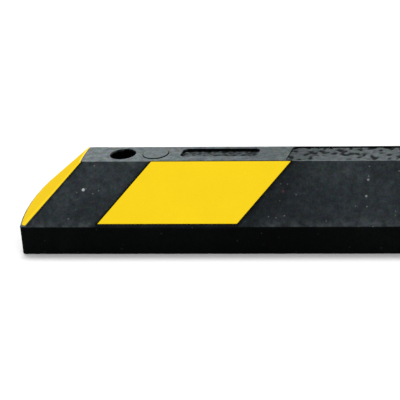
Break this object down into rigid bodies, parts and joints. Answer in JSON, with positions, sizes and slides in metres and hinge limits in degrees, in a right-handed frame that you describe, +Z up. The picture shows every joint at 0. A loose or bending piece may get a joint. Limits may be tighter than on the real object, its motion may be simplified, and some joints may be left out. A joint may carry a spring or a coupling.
{
  "type": "rubber parking stop",
  "caption": "Low moulded rubber bar with sloped sides and ends, inlaid yellow reflective tapes, and plugged anchor holes for spiking it to the ground.",
  "frame": {"origin": "centre of the bar's base, on the surface that it lies on", "axes": "+X along the bar, +Y from the front side to the rear side, +Z up"},
  "size_m": [1.8288, 0.1524, 0.1028],
  "materials": {
    "moulded_rubber": "moulded recycled crumb rubber, mottled, dusty on top",
    "reflective_tape": "yellow retroreflective sheeting",
    "plug_rubber": "moulded rubber, greyed",
    "zinc_steel": "zinc plated"
  },
  "bodies": {
    "bar": {"rubber_bar": "moulded_rubber", "front_tape_1": "reflective_tape", "front_tape_2": "reflective_tape", "front_tape_3": "reflective_tape", "front_tape_4": "reflective_tape", "rear_tape_1": "reflective_tape", "rear_tape_2": "reflective_tape", "rear_tape_3": "reflective_tape", "rear_tape_4": "reflective_tape", "left_end_tape": "reflective_tape", "right_end_tape": "reflective_tape", "anchor_washer_1": "zinc_steel", "anchor_washer_2": "zinc_steel", "anchor_washer_3": "zinc_steel", "anchor_washer_4": "zinc_steel"},
    "plug_1": {"hole_plug_1": "plug_rubber"},
    "plug_2": {"hole_plug_2": "plug_rubber"},
    "plug_3": {"hole_plug_3": "plug_rubber"},
    "plug_4": {"hole_plug_4": "plug_rubber"}
  },
  "joints": [
    {"name": "plug_1_pull", "type": "slide", "parent": "bar", "child": "plug_1", "axis": [0, 0, 1], "range_m": [0, 0.035]},
    {"name": "plug_2_pull", "type": "slide", "parent": "bar", "child": "plug_2", "axis": [0, 0, 1], "range_m": [0, 0.035]},
    {"name": "plug_3_pull", "type": "slide", "parent": "bar", "child": "plug_3", "axis": [0, 0, 1], "range_m": [0, 0.035]},
    {"name": "plug_4_pull", "type": "slide", "parent": "bar", "child": "plug_4", "axis": [0, 0, 1], "range_m": [0, 0.035]}
  ]
}
